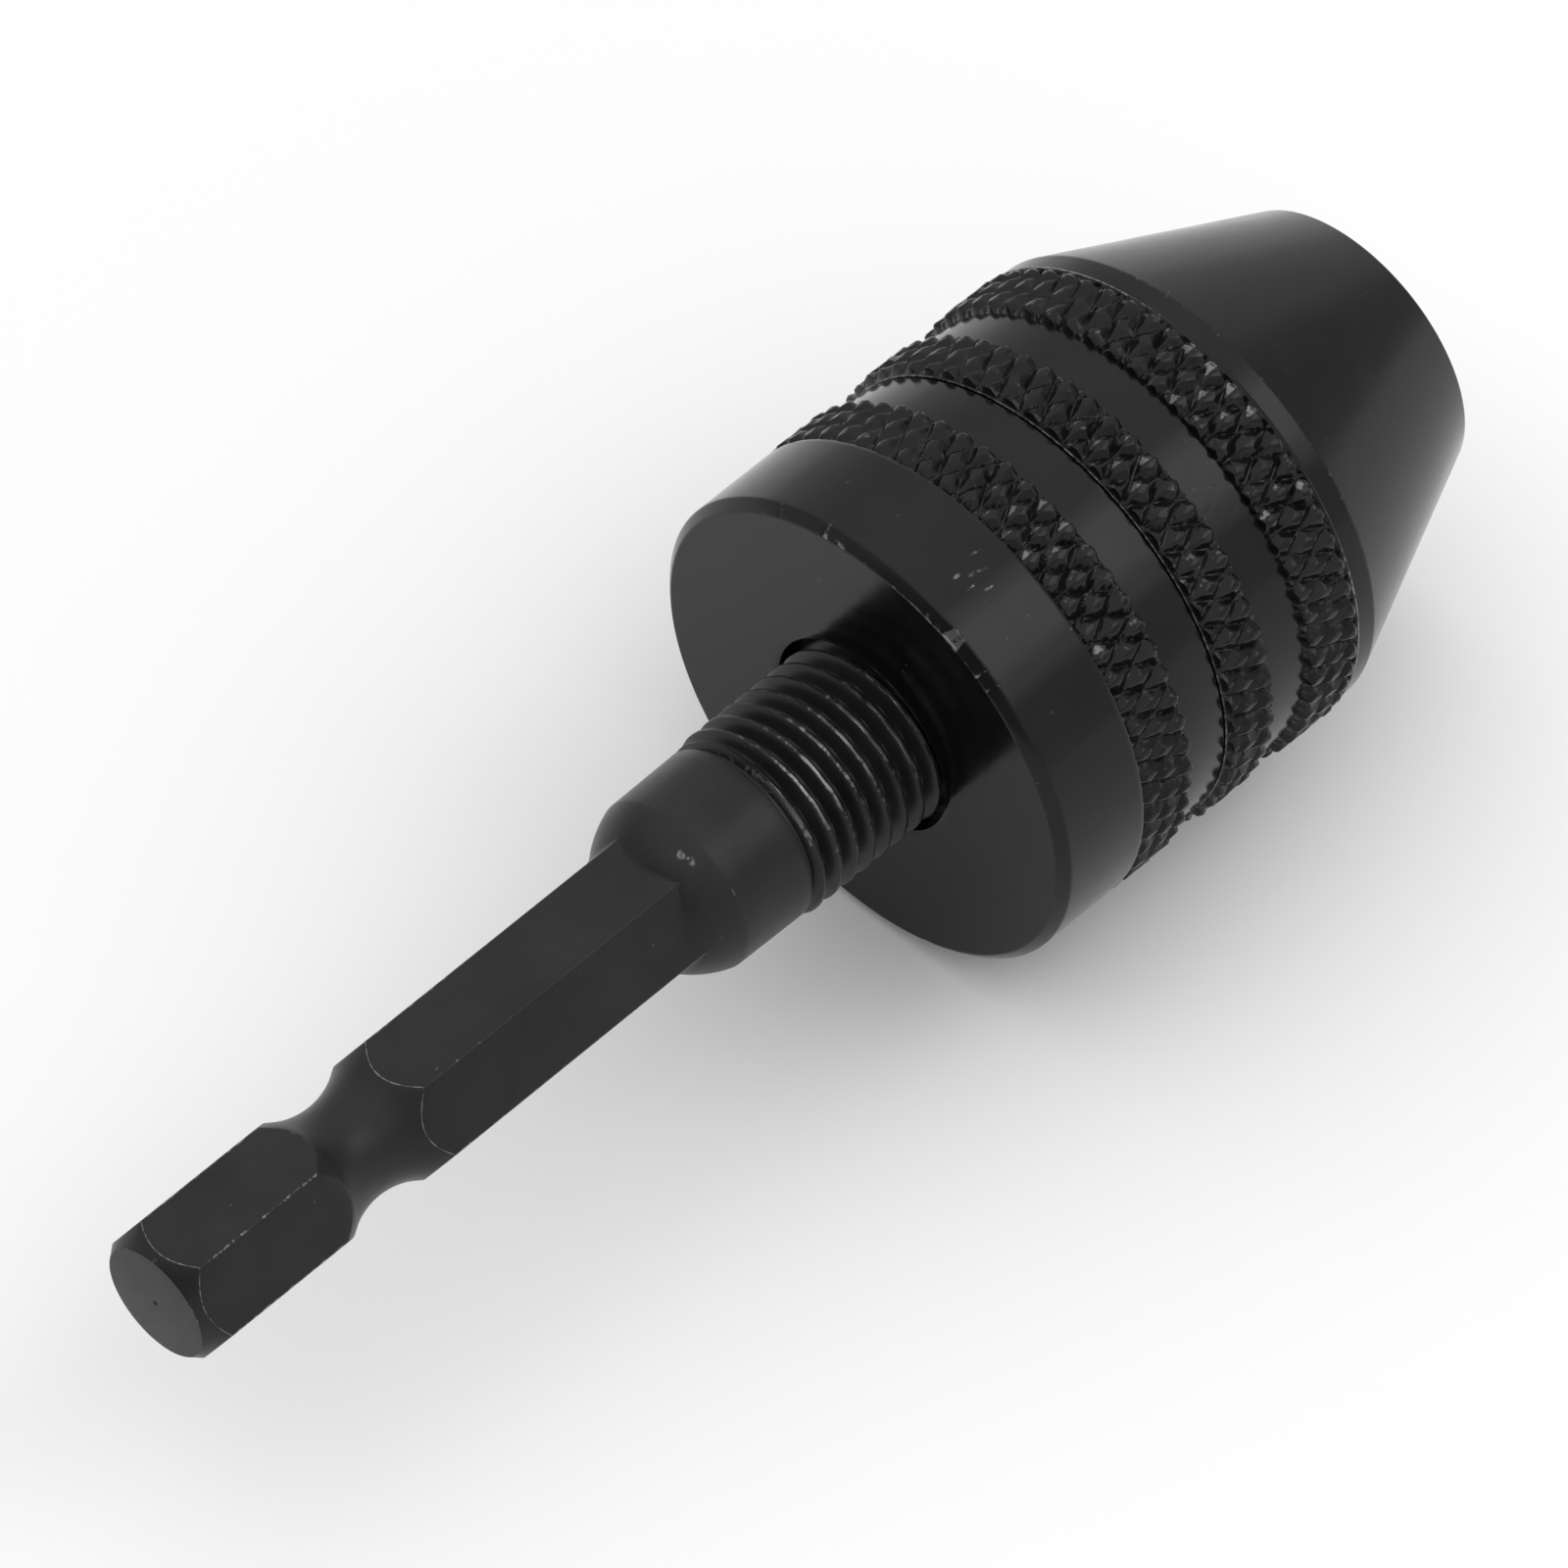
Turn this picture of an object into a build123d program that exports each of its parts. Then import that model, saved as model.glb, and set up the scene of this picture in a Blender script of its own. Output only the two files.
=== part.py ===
from build123d import *
from math import cos, radians, sin, tan
import os

# Keyless three-jaw drill chuck on a quarter-inch hex adapter.
# Millimetres. +X runs along the chuck axis from the shank end to the nose, +Z is up,
# and the origin is the centre of the shank's end face. Profiles are drawn as
# (station along X, radius) and revolved about X.

os.makedirs("parts", exist_ok=True)

# ---------------------------------------------------------------- driving dimensions

# Hex shank adapter
HEX_ACROSS_FLATS = 6.35
HEX_ENVELOPE_RADIUS = 0.58 * HEX_ACROSS_FLATS
SHANK_END_RADIUS = 2.89
SHANK_CHAMFER_LENGTH = 1.1
CENTRE_DIMPLE_RADIUS = 0.15
CENTRE_DIMPLE_DEPTH = 0.13
DETENT_START = 8.05
DETENT_ARC = (9.1, 13.8)
DETENT_ARC_RADIUS = 3.175
DETENT_FLOOR = 11.42
DETENT_FLOOR_RADIUS = 2.47
DETENT_END = 14.74
COLLAR_START = 29.8
COLLAR_START_RADIUS = HEX_ACROSS_FLATS / 2 - 0.05
COLLAR_DOME_MIDDLE = (30.9, 3.98)
COLLAR_DOME_END = 32.1
COLLAR_END = 36.2
COLLAR_RADIUS = 4.5
THREAD_MAJOR_RADIUS = 9.525 / 2
THREAD_END = 52.2
THREAD_END_CHAMFER = 0.6
THREAD_CLEARANCE = 0.03

# Stations of the chuck head
HEAD_REAR = 44.05
HEAD_FRONT = 76.2
REAR_WALL = 1.48
KNURL_1 = (49.3, 52.5)
SLEEVE_SEAM = 55.05
SEAM_GAP = 0.16
KNURL_2_END = 57.9
KNURL_3 = (60.3, 63.4)
CONE_START = 64.6

# Outside radii of the chuck head
COLLAR_PLAIN_RADIUS = 12.42
KNURL_RADIUS = 12.5
GROOVE_RADIUS = 11.95
CONE_START_RADIUS = 12.2
NOSE_RADIUS = 7.3
EDGE_CHAMFER = 0.45
NOSE_CHAMFER = 0.25

# Jaws: cylinders that slide in slanted bores and meet on the axis
JAW_COUNT = 3
JAW_FIRST_ANGLE = 90.0
JAW_SLANT = 15.0
JAW_RADIUS = 2.1
JAW_BORE_CLEARANCE = 0.06
JAW_TIP = 75.0
JAW_REAR = 53.2
JAW_REAR_CHAMFER = 0.3
FIRST_TOOTH = 0.9
JAW_LAND_LENGTH = 5.5
GRIP_RADIUS = 0.9
JAW_FLANK_APEX = 0.63
JAW_FLANK_LEAN = 30.0
TOOTH_PITCH = 1.0 * cos(radians(JAW_SLANT))
TOOTH_DEPTH = 0.45
TOOTH_FLANK_ANGLE = 30.0
TOOTH_COUNT = 13

# Inside of the chuck head
SLIP = 0.02
CUT_OVERRUN = 1.0
SLEEVE_BORE_RADIUS = 11.2
TAP_RADIUS = THREAD_MAJOR_RADIUS + THREAD_CLEARANCE
TAP_END = 52.6
DRILL_BORE_RADIUS = 2.3
REAR_HOLE_RADIUS = 5.15
FLANGE_END = 54.9
HUB_RADIUS = 9.4
RACE_INNER_RADIUS = 9.45
RACE_OUTER_RADIUS = 10.85
RACE_THICKNESS = 0.6
BALL_RADIUS = 0.55
BALL_CIRCLE_RADIUS = 10.15
BALL_COUNT = 20
BALL_PLAY = 0.02
CAGE_THICKNESS = 0.5
CAGE_INNER_RADIUS = 9.5
CAGE_OUTER_RADIUS = 10.8
NUT_LENGTH = 4.0
NUT_RADIUS = 10.2
NUT_GROOVE_RADIUS = 7.3
NUT_BAND_RADIUS = 10.98
NUT_END_PLAY = 0.2
NUT_BAND_SETBACK = 0.1
FRONT_BORE_RADIUS = 11.0
GUIDE_RADIUS = 9.35
GUIDE_END = 64.6
GUIDE_CLEARANCE = 0.25
NOSE_JOURNAL_RADIUS = 5.42
NOSE_HOLE_RADIUS = 5.5
NOSE_JOURNAL_START = 73.8
BODY_FRONT = 75.9
JAW_BORE_REAR = 48.2

# ---------------------------------------------------------------- worked-out places

BALL_CENTRE = FLANGE_END + RACE_THICKNESS + BALL_RADIUS + BALL_PLAY
FRONT_RACE_START = BALL_CENTRE + BALL_RADIUS + BALL_PLAY
NUT_START = FRONT_RACE_START + RACE_THICKNESS
NUT_END = NUT_START + NUT_LENGTH
NUT_GROOVE = (NUT_START - NUT_END_PLAY, NUT_END + NUT_END_PLAY)
SLANT = radians(JAW_SLANT)
JAW_TIP_OFFSET = GRIP_RADIUS + JAW_RADIUS / cos(SLANT) - JAW_LAND_LENGTH * tan(SLANT)


def jaw_axis_radius(station):
    """Distance from the chuck axis to a jaw's own axis."""
    return JAW_TIP_OFFSET + (JAW_TIP - station) * tan(SLANT)


def jaw_edge_radius(station):
    """Radius of a jaw's outermost line, where its teeth are."""
    return jaw_axis_radius(station) + JAW_RADIUS / cos(SLANT)


def radial(angle, radius, station=0.0):
    """Point at an angle about X, counted from +Y towards +Z."""
    return (station, radius * cos(radians(angle)), radius * sin(radians(angle)))


def jaw_plane(angle, station):
    """Plane square to a jaw's axis, facing the nose, at a station on that axis."""
    inward = radial(angle, -sin(SLANT))
    return Plane(
        origin=radial(angle, jaw_axis_radius(station), station),
        z_dir=(cos(SLANT), inward[1], inward[2]),
    )


JAW_ANGLES = [JAW_FIRST_ANGLE + index * 360.0 / JAW_COUNT for index in range(JAW_COUNT)]

# ---------------------------------------------------------------- hex shank adapter

with BuildPart() as adapter:
    with BuildSketch(Plane.YZ):
        RegularPolygon(radius=HEX_ACROSS_FLATS / 2, side_count=6, major_radius=False)
    extrude(amount=COLLAR_DOME_END)
    # Turned envelope of the hex: end chamfer, and the rounded shoulder at the collar
    with BuildSketch():
        with BuildLine():
            Polyline(
                (0, 0),
                (0, SHANK_END_RADIUS),
                (SHANK_CHAMFER_LENGTH, HEX_ENVELOPE_RADIUS),
                (COLLAR_DOME_END, HEX_ENVELOPE_RADIUS),
                (COLLAR_DOME_END, 0),
                close=True,
            )
        make_face()
    revolve(axis=Axis.X, mode=Mode.INTERSECT)
    # Detent groove: a round floor between two short cones
    with BuildSketch():
        with BuildLine():
            ThreePointArc(
                (DETENT_ARC[0], DETENT_ARC_RADIUS),
                (DETENT_FLOOR, DETENT_FLOOR_RADIUS),
                (DETENT_ARC[1], DETENT_ARC_RADIUS),
            )
            Polyline(
                (DETENT_ARC[1], DETENT_ARC_RADIUS),
                (DETENT_END, HEX_ENVELOPE_RADIUS),
                (DETENT_START, HEX_ENVELOPE_RADIUS),
                (DETENT_ARC[0], DETENT_ARC_RADIUS),
            )
        make_face()
    revolve(axis=Axis.X, mode=Mode.SUBTRACT)
    # Domed collar and the threaded stud, which screws into the chuck body
    with BuildSketch():
        with BuildLine():
            Polyline(
                (COLLAR_DOME_END, COLLAR_RADIUS),
                (COLLAR_END, COLLAR_RADIUS),
                (COLLAR_END, THREAD_MAJOR_RADIUS),
                (THREAD_END - THREAD_END_CHAMFER, THREAD_MAJOR_RADIUS),
                (THREAD_END, THREAD_MAJOR_RADIUS - THREAD_END_CHAMFER),
                (THREAD_END, 0),
                (COLLAR_START, 0),
                (COLLAR_START, COLLAR_START_RADIUS),
            )
            ThreePointArc(
                (COLLAR_START, COLLAR_START_RADIUS),
                COLLAR_DOME_MIDDLE,
                (COLLAR_DOME_END, COLLAR_RADIUS),
            )
        make_face()
    revolve(axis=Axis.X)
    # Centre mark left in the end face by turning
    with BuildSketch():
        with BuildLine():
            Polyline(
                (-CUT_OVERRUN, 0),
                (CENTRE_DIMPLE_DEPTH, 0),
                (0, CENTRE_DIMPLE_RADIUS),
                (-CUT_OVERRUN, CENTRE_DIMPLE_RADIUS),
                close=True,
            )
        make_face()
    revolve(axis=Axis.X, mode=Mode.SUBTRACT)
adapter.part.label = "hex_shank_adapter"
export_step(adapter.part, "parts/hex_shank_adapter.step")

# ---------------------------------------------------------------- chuck body

with BuildPart() as body:
    with BuildSketch():
        with BuildLine():
            Polyline(
                (HEAD_REAR + REAR_WALL + SLIP, TAP_RADIUS),
                (HEAD_REAR + REAR_WALL + SLIP, SLEEVE_BORE_RADIUS - SLIP),
                (FLANGE_END, SLEEVE_BORE_RADIUS - SLIP),
                (FLANGE_END, HUB_RADIUS),
                (NUT_GROOVE[0], HUB_RADIUS),
                (NUT_GROOVE[0], NUT_GROOVE_RADIUS),
                (NUT_GROOVE[1], NUT_GROOVE_RADIUS),
                (NUT_GROOVE[1], GUIDE_RADIUS),
                (GUIDE_END, GUIDE_RADIUS),
                (NOSE_JOURNAL_START, NOSE_JOURNAL_RADIUS),
                (BODY_FRONT - NOSE_CHAMFER, NOSE_JOURNAL_RADIUS),
                (BODY_FRONT, NOSE_JOURNAL_RADIUS - NOSE_CHAMFER),
                (BODY_FRONT, DRILL_BORE_RADIUS),
                (TAP_END + TAP_RADIUS - DRILL_BORE_RADIUS, DRILL_BORE_RADIUS),
                (TAP_END, TAP_RADIUS),
                close=True,
            )
        make_face()
    revolve(axis=Axis.X)
    for angle in JAW_ANGLES:
        with BuildSketch(jaw_plane(angle, JAW_BORE_REAR)):
            Circle(JAW_RADIUS + JAW_BORE_CLEARANCE)
        bore_length = (HEAD_FRONT - JAW_BORE_REAR) / cos(SLANT) + CUT_OVERRUN
        extrude(amount=bore_length, mode=Mode.SUBTRACT)
body.part.label = "chuck_body"
export_step(body.part, "parts/chuck_body.step")

# ---------------------------------------------------------------- sleeves

with BuildPart() as rear_sleeve:
    with BuildSketch():
        with BuildLine():
            Polyline(
                (HEAD_REAR, REAR_HOLE_RADIUS),
                (HEAD_REAR, COLLAR_PLAIN_RADIUS - EDGE_CHAMFER),
                (HEAD_REAR + EDGE_CHAMFER, COLLAR_PLAIN_RADIUS),
                (KNURL_1[0], COLLAR_PLAIN_RADIUS),
                (KNURL_1[0], KNURL_RADIUS),
                (KNURL_1[1], KNURL_RADIUS),
                (KNURL_1[1], GROOVE_RADIUS),
                (SLEEVE_SEAM - SEAM_GAP / 2, GROOVE_RADIUS),
                (SLEEVE_SEAM - SEAM_GAP / 2, SLEEVE_BORE_RADIUS),
                (HEAD_REAR + REAR_WALL, SLEEVE_BORE_RADIUS),
                (HEAD_REAR + REAR_WALL, REAR_HOLE_RADIUS),
                close=True,
            )
        make_face()
    revolve(axis=Axis.X)
rear_sleeve.part.label = "rear_sleeve"
export_step(rear_sleeve.part, "parts/rear_sleeve.step")

with BuildPart() as front_sleeve:
    cone_slope = (CONE_START_RADIUS - NOSE_RADIUS) / (HEAD_FRONT - CONE_START)
    with BuildSketch():
        with BuildLine():
            Polyline(
                (SLEEVE_SEAM + SEAM_GAP / 2, FRONT_BORE_RADIUS),
                (SLEEVE_SEAM + SEAM_GAP / 2, KNURL_RADIUS),
                (KNURL_2_END, KNURL_RADIUS),
                (KNURL_2_END, GROOVE_RADIUS),
                (KNURL_3[0], GROOVE_RADIUS),
                (KNURL_3[0], KNURL_RADIUS),
                (KNURL_3[1], KNURL_RADIUS),
                (CONE_START, CONE_START_RADIUS),
                (HEAD_FRONT - NOSE_CHAMFER, NOSE_RADIUS + NOSE_CHAMFER * cone_slope),
                (HEAD_FRONT, NOSE_RADIUS - NOSE_CHAMFER),
                (HEAD_FRONT, NOSE_HOLE_RADIUS + NOSE_CHAMFER),
                (HEAD_FRONT - NOSE_CHAMFER, NOSE_HOLE_RADIUS),
                (NOSE_JOURNAL_START + SEAM_GAP, NOSE_HOLE_RADIUS),
                (GUIDE_END + SEAM_GAP, GUIDE_RADIUS + GUIDE_CLEARANCE),
                (NUT_END + SLIP, GUIDE_RADIUS + GUIDE_CLEARANCE),
                (NUT_END + SLIP, FRONT_BORE_RADIUS),
                close=True,
            )
        make_face()
    revolve(axis=Axis.X)
front_sleeve.part.label = "front_sleeve"
export_step(front_sleeve.part, "parts/front_sleeve.step")

# ---------------------------------------------------------------- split nut and its band

for nut_label, side in (("nut_half_a", 1), ("nut_half_b", -1)):
    with BuildPart() as nut_half:
        with BuildSketch(Plane(origin=(0, 0, 0), x_dir=(1, 0, 0), z_dir=(0, 0, side))):
            with BuildLine():
                Polyline(
                    (NUT_START, jaw_edge_radius(NUT_START) + JAW_BORE_CLEARANCE),
                    (NUT_START, NUT_RADIUS),
                    (NUT_END, NUT_RADIUS),
                    (NUT_END, jaw_edge_radius(NUT_END) + JAW_BORE_CLEARANCE),
                    close=True,
                )
            make_face()
        revolve(axis=Axis.X, revolution_arc=180)
    nut_half.part.label = nut_label
    export_step(nut_half.part, f"parts/{nut_label}.step")

with BuildPart() as nut_band:
    with BuildSketch(Plane.YZ.offset(NUT_START + NUT_BAND_SETBACK)):
        Circle(NUT_BAND_RADIUS)
        Circle(NUT_RADIUS + SLIP / 2, mode=Mode.SUBTRACT)
    extrude(amount=NUT_LENGTH - 2 * NUT_BAND_SETBACK)
nut_band.part.label = "nut_band"
export_step(nut_band.part, "parts/nut_band.step")

# ---------------------------------------------------------------- thrust bearing

for race_label, race_start in (
    ("rear_bearing_race", FLANGE_END),
    ("front_bearing_race", FRONT_RACE_START),
):
    with BuildPart() as race:
        with BuildSketch(Plane.YZ.offset(race_start)):
            Circle(RACE_OUTER_RADIUS)
            Circle(RACE_INNER_RADIUS, mode=Mode.SUBTRACT)
        extrude(amount=RACE_THICKNESS)
    race.part.label = race_label
    export_step(race.part, f"parts/{race_label}.step")

with BuildPart() as ball_cage:
    with BuildSketch(Plane.YZ.offset(BALL_CENTRE - CAGE_THICKNESS / 2)):
        Circle(CAGE_OUTER_RADIUS)
        Circle(CAGE_INNER_RADIUS, mode=Mode.SUBTRACT)
        with PolarLocations(BALL_CIRCLE_RADIUS, BALL_COUNT):
            Circle(BALL_RADIUS + SLIP, mode=Mode.SUBTRACT)
    extrude(amount=CAGE_THICKNESS)
ball_cage.part.label = "ball_cage"
export_step(ball_cage.part, "parts/ball_cage.step")

for index in range(BALL_COUNT):
    ball_label = f"bearing_ball_{index + 1:02d}"
    ball_place = radial(index * 360.0 / BALL_COUNT, BALL_CIRCLE_RADIUS, BALL_CENTRE)
    with BuildPart(Plane(origin=ball_place)) as bearing_ball:
        Sphere(radius=BALL_RADIUS)
    bearing_ball.part.label = ball_label
    export_step(bearing_ball.part, f"parts/{ball_label}.step")

# ---------------------------------------------------------------- jaws

flank_apex = radial(JAW_FIRST_ANGLE, JAW_FLANK_APEX)
with BuildPart() as first_jaw:
    with BuildSketch(jaw_plane(JAW_FIRST_ANGLE, JAW_REAR)):
        Circle(JAW_RADIUS)
    extrude(amount=(JAW_TIP - JAW_REAR) / cos(SLANT) + JAW_RADIUS)
    chamfer(first_jaw.edges().sort_by(Axis.X)[0], length=JAW_REAR_CHAMFER)
    # Front end square to the chuck axis, and two flanks 120 degrees apart
    split(bisect_by=Plane(origin=(JAW_TIP, 0, 0), z_dir=(1, 0, 0)), keep=Keep.BOTTOM)
    for lean in (-JAW_FLANK_LEAN, JAW_FLANK_LEAN):
        flank_normal = radial(JAW_FIRST_ANGLE + lean, 1.0)
        split(bisect_by=Plane(origin=flank_apex, z_dir=flank_normal), keep=Keep.TOP)
    # Gripping land, hollow-ground to the size held at rest
    with BuildSketch(Plane.YZ.offset(JAW_REAR)):
        Circle(GRIP_RADIUS)
    extrude(amount=HEAD_FRONT - JAW_REAR, mode=Mode.SUBTRACT)
    # Rack of teeth along the outer line, driven by the nut
    for tooth in range(TOOTH_COUNT):
        station = JAW_REAR + FIRST_TOOTH + tooth * TOOTH_PITCH
        root = jaw_edge_radius(station) - TOOTH_DEPTH
        height = 2 * TOOTH_DEPTH
        half_width = height * tan(radians(TOOTH_FLANK_ANGLE))
        with BuildSketch():
            with BuildLine():
                Polyline(
                    (station, root),
                    (station + half_width, root + height),
                    (station - half_width, root + height),
                    close=True,
                )
            make_face()
        revolve(axis=Axis.X, mode=Mode.SUBTRACT)

for index in range(JAW_COUNT):
    jaw_label = f"jaw_{index + 1}"
    with BuildPart() as jaw:
        add(first_jaw.part.rotate(Axis.X, index * 360.0 / JAW_COUNT))
    jaw.part.label = jaw_label
    export_step(jaw.part, f"parts/{jaw_label}.step")
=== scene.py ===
import math

import bpy
import numpy as np
from mathutils import Euler, Matrix, Vector


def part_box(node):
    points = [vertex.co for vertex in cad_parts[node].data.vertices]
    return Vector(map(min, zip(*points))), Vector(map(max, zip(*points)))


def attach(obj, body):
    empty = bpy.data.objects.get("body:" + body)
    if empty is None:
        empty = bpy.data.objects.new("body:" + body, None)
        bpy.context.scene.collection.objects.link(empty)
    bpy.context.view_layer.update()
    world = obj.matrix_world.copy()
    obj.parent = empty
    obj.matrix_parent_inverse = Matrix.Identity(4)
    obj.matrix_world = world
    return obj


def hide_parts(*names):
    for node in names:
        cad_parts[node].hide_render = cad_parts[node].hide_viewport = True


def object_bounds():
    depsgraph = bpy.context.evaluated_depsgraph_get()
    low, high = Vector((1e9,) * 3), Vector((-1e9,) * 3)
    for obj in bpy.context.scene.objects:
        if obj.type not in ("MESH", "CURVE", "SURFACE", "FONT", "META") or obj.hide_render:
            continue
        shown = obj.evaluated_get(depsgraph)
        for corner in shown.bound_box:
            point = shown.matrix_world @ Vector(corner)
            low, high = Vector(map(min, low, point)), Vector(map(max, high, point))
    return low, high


# A keyless drill chuck with knurled sleeves on a hex quick-change shank adapter.
# The chuck axis is X, from the shank end to the nose. Profiles are given in
# millimetres as (station along X, radius) and turned into meshes in metres.

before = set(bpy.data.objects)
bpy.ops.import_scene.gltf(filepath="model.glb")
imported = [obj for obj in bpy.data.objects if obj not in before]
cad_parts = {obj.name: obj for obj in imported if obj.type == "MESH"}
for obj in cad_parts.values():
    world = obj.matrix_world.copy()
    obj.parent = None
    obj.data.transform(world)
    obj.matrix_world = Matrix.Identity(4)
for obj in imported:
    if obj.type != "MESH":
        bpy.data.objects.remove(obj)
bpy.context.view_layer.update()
MM = 0.001

# ---------------------------------------------------------------- sizes, in millimetres


def station(node, corner):
    """Where a CAD node starts (corner 0) or ends (corner 1) along the axis."""
    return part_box(node)[corner].x / MM


HEX_ACROSS_FLATS = 6.35
HEX_CORNER_ROUNDING = 0.16
HEX_CORNER_WORN = 3.64  # radius about which the corners are rubbed
HEX_CORNER_WORN_REACH = 0.012
SHANK_END_RADIUS = 2.89
SHANK_CHAMFER_SLOPE = 0.72
DIMPLE_RADIUS = 0.13
DIMPLE_DEPTH = 0.12
DETENT_START = (9.1, 3.175)
DETENT_MIDDLE = (11.42, 2.47)
DETENT_END = (13.8, 3.175)
DETENT_CONE_SLOPES = (-0.485, 0.54)
DOME_START = (29.8, 3.125)
DOME_MIDDLE = (30.9, 3.98)
DOME_END = (32.1, 4.5)
COLLAR_END = (36.2, 4.56)
THREAD_PITCH = 25.4 / 24
THREAD_MAJOR = 9.525 / 2
THREAD_DEPTH = 0.6134 * THREAD_PITCH
THREAD_STEPS = 18  # rows in one pitch
THREAD_LEAD_IN = 0.65  # how far the chamfer takes the thread down at its end
THREAD_START_DROP = 0.45  # the same beside the collar
THREAD_END = station("hex_shank_adapter", 1)

HEAD_REAR = station("rear_sleeve", 0)
REAR_SLEEVE_END = station("rear_sleeve", 1)
FRONT_SLEEVE_START = station("front_sleeve", 0)
HEAD_FRONT = station("front_sleeve", 1)
NUT_END = station("nut_half_a", 1)
REAR_WALL = 1.48
REAR_HOLE = 5.15
REAR_BORE = 11.2
COLLAR_PLAIN = 12.42
GROOVE = 11.95
KNURL_CREST = 12.5
FRONT_BORE = 11.0
GUIDE_BORE = 9.6
NOSE_HOLE = 5.5
NOSE_RADIUS = 7.3
EDGE_CHAMFER = 0.45
SEAM_LIP = 0.08
KNURL_1 = (49.3, 52.5)
KNURL_2_END = 57.9
KNURL_3 = (60.3, 63.3)
KNURL_3_RIM = 63.5
KNURL_3_RUNOUT = 0.55
CONE_START = (64.6, 12.26)
GUIDE_END = 64.8
NOSE_BORE_START = 74.0

# Stations where the diamonds stand point to point across the axis
KNURL_1_CENTRE = 51.0
KNURL_2_CENTRE = 56.25
KNURL_3_CENTRE = 61.9
KNURL_1_SEED = 31
KNURL_2_SEED = 47
KNURL_3_SEED = 61

KNURL_TEETH = 58
KNURL_SAMPLES = 16
KNURL_DEPTH = 0.34
KNURL_GROOVE = 0.31  # half width of a groove as a share of the tooth pitch
KNURL_EDGE_DROP = 0.07
KNURL_COARSE = 0.2  # share by which the depth varies over long stretches
KNURL_FINE = 0.12  # and over short ones
SLEEVE_SEGMENTS = KNURL_TEETH * KNURL_SAMPLES
KNURL_LENGTH = 2 * math.pi * KNURL_CREST / KNURL_TEETH / math.tan(math.radians(30))
VIEW_SIDE = 119.6  # angle about X, from +Y, of the side that faces the camera
SMOOTH_UP_TO = 24  # degrees between faces that are still shaded as one surface
RIPPLE_WAVES = 7
RIPPLE_REACH = 3  # brings the sum of the waves to between about -1 and 1


# ---------------------------------------------------------------- mesh code


def is_point(row):
    """Whether a row is a single point on the axis."""
    return np.ndim(row[1]) == 0 and row[1] == 0


def skin(name, angles, rows, loop=False, facet_rows=()):
    """Closed skin through rows of (station, radius, wear and painted highlight), in millimetres.

    Each value is a number or one value per angle. A row of radius 0 is a point on the
    axis. loop joins the last row to the first. Quads that start on facet_rows are split
    along the diagonal that follows the relief best.
    """
    cosine, sine = np.cos(angles), np.sin(angles)
    count = len(angles)
    points, wear_and_highlight, starts = [], [], []
    for row in rows:
        x, radius, worn_and_highlighted = row
        starts.append(len(points))
        if is_point(row):
            points.append((float(np.mean(x)) * MM, 0.0, 0.0))
            wear_and_highlight.append(float(np.mean(worn_and_highlighted)))
            continue
        x, radius, worn_and_highlighted = (np.broadcast_to(v, angles.shape) for v in (x, radius, worn_and_highlighted))
        points += list(zip(x * MM, radius * cosine * MM, radius * sine * MM))
        wear_and_highlight += list(worn_and_highlighted)
    faces = []
    pairs = [(k, k + 1) for k in range(len(rows) - 1)]
    if loop:
        pairs.append((len(rows) - 1, 0))
    for a, b in pairs:
        first, second = starts[a], starts[b]
        relief = a in facet_rows
        if relief:
            r_a = np.broadcast_to(rows[a][1], angles.shape)
            r_b = np.broadcast_to(rows[b][1], angles.shape)
        for j in range(count):
            n = (j + 1) % count
            if is_point(rows[a]):
                faces.append((first, second + n, second + j))
            elif is_point(rows[b]):
                faces.append((first + j, first + n, second))
            elif relief and abs(r_a[j] - r_b[n]) < abs(r_a[n] - r_b[j]):
                faces.append((first + j, first + n, second + n))
                faces.append((first + j, second + n, second + j))
            elif relief:
                faces.append((first + j, first + n, second + j))
                faces.append((first + n, second + n, second + j))
            else:
                faces.append((first + j, first + n, second + n, second + j))
    mesh = bpy.data.meshes.new(name)
    mesh.from_pydata([tuple(p) for p in points], [], faces)
    # The attribute holds real wear and painted highlights; the material shows both as bare steel colour.
    channel = mesh.attributes.new("wear_and_highlight", "FLOAT", "POINT")
    channel.data.foreach_set("value", np.array(wear_and_highlight, np.float32))
    mesh.shade_smooth()
    mesh.set_sharp_from_angle(angle=math.radians(SMOOTH_UP_TO))
    mesh.validate()
    piece = bpy.data.objects.new(name, mesh)
    bpy.context.scene.collection.objects.link(piece)
    return piece


def rounded_rows(points, wear_and_highlight, steps=4):
    """Rows along an outline of (station, radius, corner radius), with rounded corners.

    The first and last points stay sharp. The rows inside a rounded corner carry wear,
    and the others none.
    """
    rows = [(points[0][0], points[0][1], 0.0)]
    for before, point, after in zip(points, points[1:], points[2:]):
        corner = Vector(point[:2])
        back, on = Vector(before[:2]) - corner, Vector(after[:2]) - corner
        turn = math.pi - back.angle(on)
        reach = min(point[2] * math.tan(turn / 2), 0.45 * back.length, 0.45 * on.length)
        start, end = corner + back.normalized() * reach, corner + on.normalized() * reach
        rows.append((start.x, start.y, 0.0))
        for s in range(1, steps):
            t = s / steps
            bend = (1 - t) ** 2 * start + 2 * t * (1 - t) * corner + t * t * end
            rows.append((bend.x, bend.y, wear_and_highlight))
        rows.append((end.x, end.y, 0.0))
    rows.append((points[-1][0], points[-1][1], 0.0))
    return rows


def even_angles(count):
    return np.linspace(0, 2 * math.pi, count, endpoint=False)


def near(angles, centre, width):
    """1 near an angle given in degrees from the side that faces the camera, falling to 0."""
    away = (np.degrees(angles) - VIEW_SIDE - centre + 180) % 360 - 180
    return np.exp(-((away / width) ** 2))


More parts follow.
